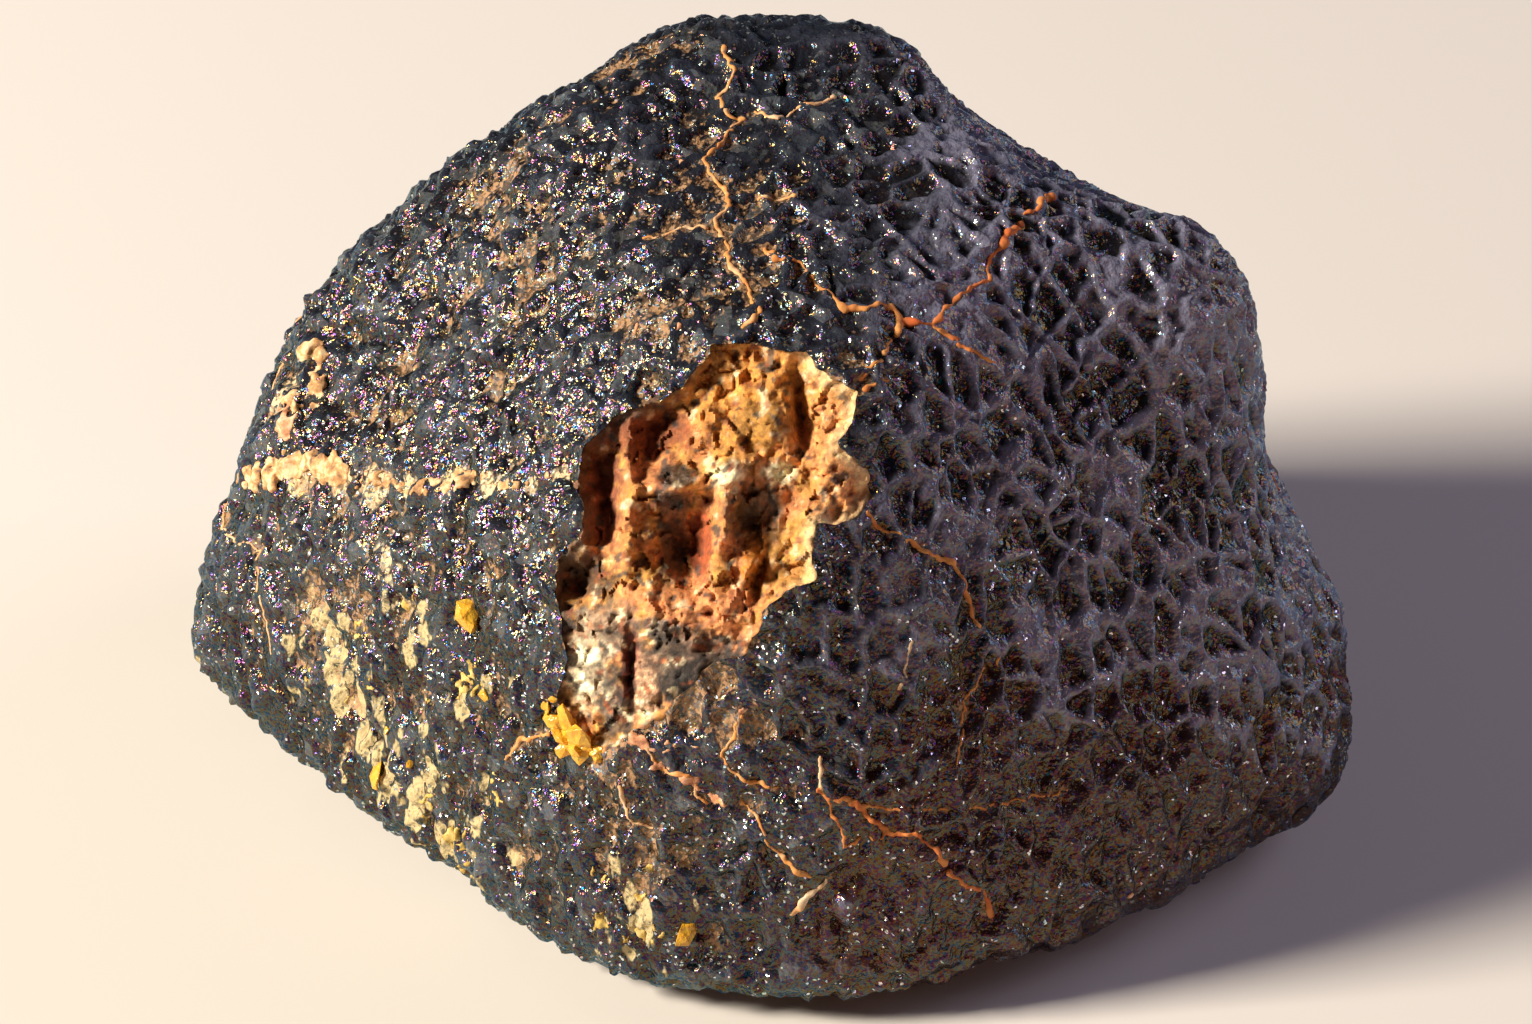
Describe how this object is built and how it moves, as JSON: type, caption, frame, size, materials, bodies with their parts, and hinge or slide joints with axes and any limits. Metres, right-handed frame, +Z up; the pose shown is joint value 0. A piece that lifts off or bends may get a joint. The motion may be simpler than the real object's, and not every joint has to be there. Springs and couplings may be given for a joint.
{
  "type": "martian meteorite",
  "caption": "Rounded block of meteorite under a black glassy fusion crust, with a chip at its front corner that shows the pale inside, and a flat spot to rest on.",
  "frame": {"origin": "middle of the stone's box, on the flat spot that it rests on", "axes": "+Z up as it rests, +X to the stone's right seen from the chipped side, which faces -Y"},
  "size_m": [0.0438, 0.0364, 0.0278],
  "materials": {
    "fusion_crust": "black glassy fusion crust with a raised network and dusty hollows",
    "chip_matrix": "broken crystalline inside, ochre to peach with dark clasts and pits",
    "caliche": "lumpy cream carbonate crust along a seam and in islands",
    "oxide_vein": "thin orange to tan infill in hairline cracks",
    "amber_crystal": "clear golden crystal with flat faces"
  },
  "bodies": {
    "root": {"meteorite": "fusion_crust"}
  },
  "joints": []
}
